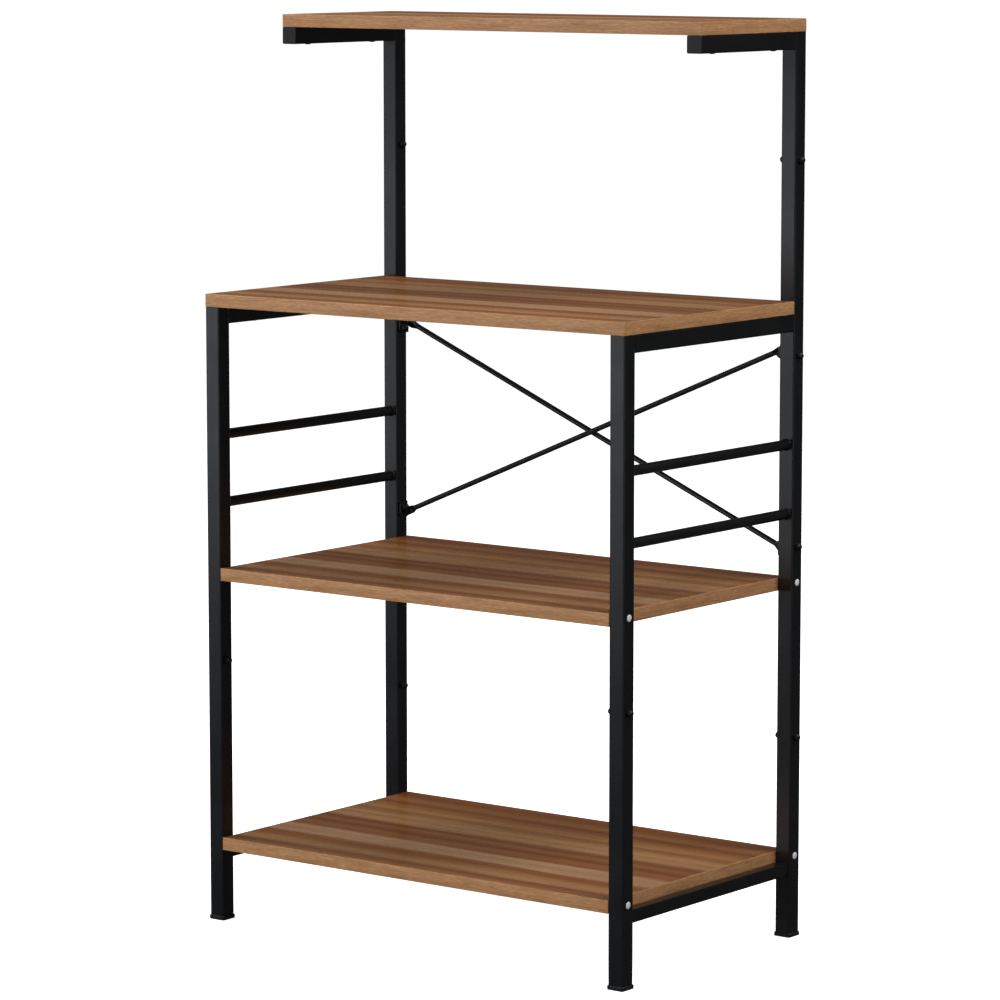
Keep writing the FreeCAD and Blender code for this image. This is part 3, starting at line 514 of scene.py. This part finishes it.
def weld_line(start, finish):
    """A straight bead of weld in a corner, from start to finish, with eased ends."""
    start, finish = Vector(start), Vector(finish)
    run = finish - start
    sides, rings = 10, max(4, round(run.length / RIPPLE_LENGTH))
    deselect()
    bpy.ops.mesh.primitive_cylinder_add(vertices=sides, radius=BEAD * MM, depth=run.length * MM,
                                        location=(start + finish) / 2 * MM,
                                        rotation=run.to_track_quat("Z", "Y").to_euler())
    piece = named("bead")
    bpy.ops.object.transform_apply(location=False, rotation=False, scale=True)
    bpy.ops.object.mode_set(mode="EDIT")
    for ring in range(1, rings):
        level = run.length * (ring / rings - 0.5) * MM
        bpy.ops.mesh.select_all(action="SELECT")
        plane_point = piece.matrix_world @ Vector((0, 0, level))
        bpy.ops.mesh.bisect(plane_co=plane_point, plane_no=run.normalized())
    half = run.length / 2 * MM
    pick(piece, "FACE", lambda face: abs(abs(face.calc_center_median().z) - half) < SAME_PLACE * MM
         and abs(face.normal.z) > SQUARE_ON)
    bpy.ops.mesh.inset(thickness=BEAD / 2 * MM)
    ripple(piece, lambda vertex: round((vertex.co.z / half + 1) / 2 * rings) % 2 == 1
           and half - abs(vertex.co.z) > SAME_PLACE * MM)
    bpy.ops.object.mode_set(mode="OBJECT")
    settle()
    return piece


def weld_beads():
    """The welds that hold the guard bars, the rails and the arms to the posts."""
    front, back = high("front_post_right", "y"), low("rear_post_right", "y")
    bar_radius = (high("lower_guard_bar_right", "x") - low("lower_guard_bar_right", "x")) / 2
    reach = (outer_face - inner_face) / 2 - BEAD_MARGIN
    rail_under, rail_top = low("base_rail_right", "z"), high("base_rail_right", "z")
    beads = []
    for _, side in SIDES:
        for bar in ("lower_guard_bar_right", "upper_guard_bar_right"):
            level = (low(bar, "z") + high(bar, "z")) / 2
            for y in (front, back):
                beads.append(weld_ring((post_x * side, y, level), bar_radius))
        for node, ends in (("counter_rail_right", (front, back)), ("top_arm_right", (back,))):
            under = low(node, "z")
            for y in ends:
                beads.append(weld_line((post_x * side - reach, y, under), (post_x * side + reach, y, under)))
        rail_in, rail_out = low("base_rail_right", "x") * side, high("base_rail_right", "x") * side
        gap = CORNER_GAP * side
        for y in (front, back):
            for level in (rail_under, rail_top):
                beads.append(weld_line((rail_in + gap, y, level), (rail_out - gap, y, level)))
            for x in (rail_in, rail_out):
                beads.append(weld_line((x, y, rail_under + CORNER_GAP), (x, y, rail_top - CORNER_GAP)))
    hand_in(joined(beads, "weld_beads"), powder, "powder_coated_steel")


# Materials

# Most of a noise lies between these two values.
NOISE_SPAN = {"From Min": 0.3, "From Max": 0.7}
DIELECTRIC_IOR = 1.5


def linear(code):
    """An sRGB colour written as hex, as the linear colour that a shader takes."""
    channels = []
    for start in (1, 3, 5):
        value = int(code[start:start + 2], 16) / 255
        channels.append(value / 12.92 if value <= 0.04045 else ((value + 0.055) / 1.055) ** 2.4)
    return (*channels, 1.0)


def add(tree, kind, inputs=None, stops=None, **settings):
    """Adds a node with its settings, its inputs as values or links, and the stops of its ramp."""
    node = tree.nodes.new(kind)
    for setting, value in settings.items():
        setattr(node, setting, value)
    for socket, value in (inputs or {}).items():
        if isinstance(value, bpy.types.NodeSocket):
            tree.links.new(value, node.inputs[socket])
        else:
            node.inputs[socket].default_value = value
    for number, (place, code) in enumerate(stops or ()):
        elements = node.color_ramp.elements
        stop = elements[number] if number < 2 else elements.new(place)
        stop.position = place
        stop.color = linear(code)
    return node


def new_material(name):
    """A material with an empty shader, and the coordinates of the piece in millimetres."""
    material = bpy.data.materials.new(name)
    material.use_nodes = True
    tree = material.node_tree
    tree.nodes.clear()
    shader = add(tree, "ShaderNodeBsdfPrincipled")
    add(tree, "ShaderNodeOutputMaterial", {"Surface": shader.outputs["BSDF"]})
    place = add(tree, "ShaderNodeTexCoord").outputs["Object"]
    in_mm = add(tree, "ShaderNodeMapping", {"Vector": place, "Scale": (1 / MM, 1 / MM, 1 / MM)})
    return material, tree, shader, in_mm.outputs["Vector"]


def streaks(tree, place, width, length, detail):
    """The strength of a grain that runs along X, of this width and length in millimetres."""
    drawn_out = add(tree, "ShaderNodeMapping", {"Vector": place, "Scale": (1 / length, 1 / width, 1.0)})
    return add(tree, "ShaderNodeTexNoise", {"Vector": drawn_out.outputs["Vector"], "Scale": 1.0,
                                            "Detail": detail}).outputs["Fac"]


def powder_coat():
    """Satin black polyester powder coat, sprayed and baked: an even black with a soft, slightly blue sheen
    and the faint orange peel that the melted powder leaves."""
    peel_size, cloud_size = 2.2, 60
    material, tree, shader, place = new_material("satin_black_polyester_powder_coat")
    clouds = add(tree, "ShaderNodeTexNoise", {"Vector": place, "Scale": 1 / cloud_size, "Detail": 3.0})
    tone = add(tree, "ShaderNodeValToRGB", {"Fac": clouds.outputs["Fac"]},
               stops=[(0.30, "#0B0C0E"), (0.70, "#111214")])
    peel = add(tree, "ShaderNodeTexNoise", {"Vector": place, "Scale": 1 / peel_size, "Detail": 1.0})
    sheen = add(tree, "ShaderNodeMapRange", {"Value": clouds.outputs["Fac"], **NOISE_SPAN,
                                             "To Min": 0.27, "To Max": 0.33})
    bump = add(tree, "ShaderNodeBump", {"Height": peel.outputs["Fac"], "Strength": 0.25,
                                        "Distance": 0.06 * MM})
    tree.links.new(tone.outputs["Color"], shader.inputs["Base Color"])
    tree.links.new(sheen.outputs["Result"], shader.inputs["Roughness"])
    tree.links.new(bump.outputs["Normal"], shader.inputs["Normal"])
    shader.inputs["IOR"].default_value = DIELECTRIC_IOR
    return material


# The printed sheet on the boards, from its front edge towards the back: where each band is at its purest,
# in millimetres, and its tone.
WALNUT = {"ash": "#C59A74", "pale": "#BE8E61", "tan": "#B57F4D", "brown": "#9F6839", "russet": "#95592E",
          "dark": "#834B24"}
SHEET_BANDS = (
    (0, "tan"), (19, "russet"), (31, "pale"), (46, "tan"), (55, "brown"), (65, "russet"), (75, "brown"),
    (83, "ash"), (97, "pale"), (114, "ash"), (121, "russet"), (135, "brown"), (150, "dark"),
    (166, "brown"), (181, "dark"), (198, "pale"), (209, "tan"), (220, "pale"), (243, "brown"),
    (259, "tan"), (276, "brown"), (290, "dark"), (304, "brown"), (328, "dark"), (350, "russet"),
)
# The lines of the print: the width and length of each kind in millimetres, its detail, and how dark and how
# light it goes.
SHEET_LINES = ((9, 420, 3.0, 0.90, 1.10), (2.4, 190, 3.0, 0.82, 1.14), (0.9, 70, 2.0, 0.88, 1.12))


def walnut_laminate(board):
    """Melamine-faced board with a printed walnut pattern, pressed satin: long straight bands of light and
    dark wood with fine lines and short dark pores along them, and a soft mirror at a low angle."""
    sway, sway_length, sway_width = 9, 260, 70
    feather_width, feather_length, feather_reach = 1.8, 230, 30
    # A walnut print's pores and finest fibres are 0.3 to 0.5 mm wide. They are drawn about twice as wide, so
    # that they show.
    pore_width, pore_length = 0.7, 16
    material, tree, shader, place = new_material("walnut_print_melamine_" + board)
    sheet = add(tree, "ShaderNodeMapping", {"Vector": place, "Location": (0, -low(board, "y"), 0)})
    sheet_parts = add(tree, "ShaderNodeSeparateXYZ", {"Vector": sheet.outputs["Vector"]})
    drawn_out = add(tree, "ShaderNodeMapping", {"Vector": sheet.outputs["Vector"],
                                                "Scale": (1 / sway_length, 1 / sway_width, 1 / sway_width)})
    wander = add(tree, "ShaderNodeTexNoise", {"Vector": drawn_out.outputs["Vector"], "Scale": 1.0,
                                              "Detail": 2.0})
    centred = add(tree, "ShaderNodeMath", {0: wander.outputs["Fac"], 1: 0.5}, operation="SUBTRACT")
    swayed = add(tree, "ShaderNodeMath", {0: centred.outputs[0], 1: sway, 2: sheet_parts.outputs["Y"]},
                 operation="MULTIPLY_ADD")
    line_place = add(tree, "ShaderNodeCombineXYZ", {"X": sheet_parts.outputs["X"], "Y": swayed.outputs[0]})
    grain = line_place.outputs["Vector"]
    # Each fibre takes its tone from a little before or behind it, so the bands feather at their sides.
    fibres = streaks(tree, grain, feather_width, feather_length, 2.0)
    feather = add(tree, "ShaderNodeMath", {0: fibres, 1: 0.5}, operation="SUBTRACT")
    feathered = add(tree, "ShaderNodeMath", {0: feather.outputs[0], 1: feather_reach, 2: swayed.outputs[0]},
                    operation="MULTIPLY_ADD")
    depth = SHEET_BANDS[-1][0]
    share = add(tree, "ShaderNodeMath", {0: feathered.outputs[0], 1: float(depth)}, operation="DIVIDE")
    bands = add(tree, "ShaderNodeValToRGB", {"Fac": share.outputs[0]},
                stops=[(at / depth, WALNUT[tone]) for at, tone in SHEET_BANDS])
    pores = add(tree, "ShaderNodeMapRange", {"Value": streaks(tree, grain, pore_width, pore_length, 1.0),
                                             "From Min": 0.60, "From Max": 0.68,
                                             "To Min": 1.0, "To Max": 0.55})
    shade = pores.outputs["Result"]
    for width, length, detail, darkest, lightest in SHEET_LINES:
        lines = add(tree, "ShaderNodeMapRange", {"Value": streaks(tree, grain, width, length, detail),
                                                 **NOISE_SPAN, "To Min": darkest, "To Max": lightest})
        shade = add(tree, "ShaderNodeMath", {0: shade, 1: lines.outputs["Result"]},
                    operation="MULTIPLY").outputs[0]
    wood = add(tree, "ShaderNodeVectorMath", {0: bands.outputs["Color"]}, operation="SCALE")
    tree.links.new(shade, wood.inputs["Scale"])
    tree.links.new(wood.outputs["Vector"], shader.inputs["Base Color"])
    gloss = add(tree, "ShaderNodeMapRange", {"Value": shade, "From Min": 0.5, "From Max": 1.2,
                                             "To Min": 0.34, "To Max": 0.24})
    tree.links.new(gloss.outputs["Result"], shader.inputs["Roughness"])
    bump = add(tree, "ShaderNodeBump", {"Height": pores.outputs["Result"], "Strength": 0.2,
                                        "Distance": 0.05 * MM})
    tree.links.new(bump.outputs["Normal"], shader.inputs["Normal"])
    shader.inputs["IOR"].default_value = DIELECTRIC_IOR
    shader.inputs["Specular IOR Level"].default_value = 0.35
    return material


def edge_strip_print():
    """Printed ABS edge strip, extruded and ironed on: a lighter, warmer brown than the board's face, with
    short dashes and flecks of grain along the edge."""
    cloud_width, dash_width, fleck_width = 6, 1.6, 1.1
    cloud_length, dash_length, fleck_length = 70, 26, 9
    material, tree, shader, place = new_material("walnut_print_abs_edge_strip")
    parts = add(tree, "ShaderNodeSeparateXYZ", {"Vector": place})
    # A strip lies along X or along Y, and x + y runs along either.
    along = add(tree, "ShaderNodeMath", {0: parts.outputs["X"], 1: parts.outputs["Y"]}, operation="ADD")
    run = add(tree, "ShaderNodeCombineXYZ", {"X": along.outputs[0], "Y": parts.outputs["Z"]})
    grain = run.outputs["Vector"]
    clouds = add(tree, "ShaderNodeValToRGB", {"Fac": streaks(tree, grain, cloud_width, cloud_length, 3.0)},
                 stops=[(0.25, "#AE7C52"), (0.50, "#C08D5F"), (0.75, "#C99768")])
    dashes = add(tree, "ShaderNodeMapRange", {"Value": streaks(tree, grain, dash_width, dash_length, 2.0),
                                              **NOISE_SPAN, "To Min": 0.84, "To Max": 1.14})
    flecks = add(tree, "ShaderNodeMapRange", {"Value": streaks(tree, grain, fleck_width, fleck_length, 1.0),
                                              **NOISE_SPAN, "To Min": 0.82, "To Max": 1.18})
    shade = add(tree, "ShaderNodeMath", {0: dashes.outputs["Result"], 1: flecks.outputs["Result"]},
                operation="MULTIPLY")
    wood = add(tree, "ShaderNodeVectorMath", {0: clouds.outputs["Color"]}, operation="SCALE")
    tree.links.new(shade.outputs[0], wood.inputs["Scale"])
    tree.links.new(wood.outputs["Vector"], shader.inputs["Base Color"])
    shader.inputs["Roughness"].default_value = 0.42
    shader.inputs["IOR"].default_value = DIELECTRIC_IOR
    return material


def moulded_polyethylene():
    """Black polyethylene, injection moulded in a spark-eroded tool: duller than the paint, with a fine
    even grain."""
    # The tool's grain is about 0.2 mm. It is drawn coarser, so that it shows.
    grain_size = 0.8
    material, tree, shader, place = new_material("black_moulded_polyethylene")
    grain = add(tree, "ShaderNodeTexNoise", {"Vector": place, "Scale": 1 / grain_size, "Detail": 2.0})
    tone = add(tree, "ShaderNodeValToRGB", {"Fac": grain.outputs["Fac"]},
               stops=[(0.3, "#0A0A0B"), (0.7, "#111112")])
    bump = add(tree, "ShaderNodeBump", {"Height": grain.outputs["Fac"], "Strength": 0.3,
                                        "Distance": 0.05 * MM})
    tree.links.new(tone.outputs["Color"], shader.inputs["Base Color"])
    tree.links.new(bump.outputs["Normal"], shader.inputs["Normal"])
    shader.inputs["Roughness"].default_value = 0.5
    shader.inputs["IOR"].default_value = DIELECTRIC_IOR
    return material


def plated_steel(name, cloud_size, colours, roughness, metallic):
    """Small steel parts in a barrel finish: a colour and a gloss that change a little from place to place."""
    material, tree, shader, place = new_material(name)
    clouds = add(tree, "ShaderNodeTexNoise", {"Vector": place, "Scale": 1 / cloud_size, "Detail": 3.0})
    tone = add(tree, "ShaderNodeValToRGB", {"Fac": clouds.outputs["Fac"]},
               stops=[(0.3, colours[0]), (0.7, colours[1])])
    rough = add(tree, "ShaderNodeMapRange", {"Value": clouds.outputs["Fac"], **NOISE_SPAN,
                                             "To Min": roughness[0], "To Max": roughness[1]})
    tree.links.new(tone.outputs["Color"], shader.inputs["Base Color"])
    tree.links.new(rough.outputs["Result"], shader.inputs["Roughness"])
    shader.inputs["Metallic"].default_value = metallic
    return material


def black_oxide():
    """Black oxide on cold-headed steel, dipped and oiled: near black, with a dull glint."""
    # The photograph's bolt heads are plain dark and mirror nothing, so the finish is mostly not metallic.
    return plated_steel("black_oxide_steel", cloud_size=2.5, colours=("#0C0C0D", "#131313"),
                        roughness=(0.40, 0.55), metallic=0.2)


def zinc_plate():
    """Zinc plate on steel, barrel plated and passivated, with a painted reflection: its colour is painted
    near white all over, standing in for the bright surroundings that a plated head mirrors.
    """
    # The photograph's screw heads are near white all over, so the finish is mostly not metallic.
    # The near-white colours are a painted reflection, not the zinc's own colour.
    return plated_steel("zinc_plate_painted_white_reflection", cloud_size=1.6, colours=("#F8F9F9", "#FFFFFF"),
                        roughness=(0.28, 0.42), metallic=0.05)


def bare_steel():
    """Bare cold-drawn steel tube, lightly oiled: grey, with fine lines along the draw."""
    # The die's lines are about 0.1 mm wide. They are drawn coarser, so that they show.
    line_width, line_length = 0.4, 40
    material, tree, shader, place = new_material("bare_drawn_steel")
    drawn = add(tree, "ShaderNodeMapping", {"Vector": place,
                                            "Scale": (1 / line_width, 1 / line_width, 1 / line_length)})
    lines = add(tree, "ShaderNodeTexNoise", {"Vector": drawn.outputs["Vector"], "Scale": 1.0, "Detail": 2.0})
    tone = add(tree, "ShaderNodeValToRGB", {"Fac": lines.outputs["Fac"]},
               stops=[(0.3, "#77787A"), (0.7, "#9B9C9D")])
    tree.links.new(tone.outputs["Color"], shader.inputs["Base Color"])
    shader.inputs["Roughness"].default_value = 0.4
    shader.inputs["Metallic"].default_value = 1.0
    return material


def pale_floor():
    """White emulsion on board, rolled on: matt white, with a roller's stipple."""
    # The paint glows, so that it shows no shadow, and its stipple is drawn coarser than the real one.
    stipple_size = 4
    material, tree, shader, place = new_material("white_emulsion_paint")
    stipple = add(tree, "ShaderNodeTexNoise", {"Vector": place, "Scale": 1 / stipple_size, "Detail": 2.0})
    bump = add(tree, "ShaderNodeBump", {"Height": stipple.outputs["Fac"], "Strength": 0.2,
                                        "Distance": 0.2 * MM})
    tree.links.new(bump.outputs["Normal"], shader.inputs["Normal"])
    shader.inputs["Base Color"].default_value = linear("#F2F2F2")
    shader.inputs["Roughness"].default_value = 0.9
    shader.inputs["Emission Color"].default_value = linear(WHITE)
    shader.inputs["Emission Strength"].default_value = 0.97
    return material


# The finishes

powder = powder_coat()
plastic = moulded_polyethylene()
oxide = black_oxide()
zinc = zinc_plate()
steel = bare_steel()
strip = edge_strip_print()
by_slot = {"powder_coated_steel": powder, "black_plastic": plastic, "black_steel": oxide,
           "zinc_plated_steel": zinc, "bare_steel": steel, "edge_banding": strip}


# The nodes that stay, and the pieces that replace the others or are added

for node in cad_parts.values():
    slot = node.data.materials[0].name
    if slot in by_slot:
        node.material_slots[0].material = by_slot[slot]
for board in BOARDS:
    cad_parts[board].material_slots[0].material = walnut_laminate(board)
    edge_strips(board, strip)
shelf_screws()
bolts()
board_screws()
weld_beads()


# The scene

camera()
studio()
studio_floor(pale_floor())
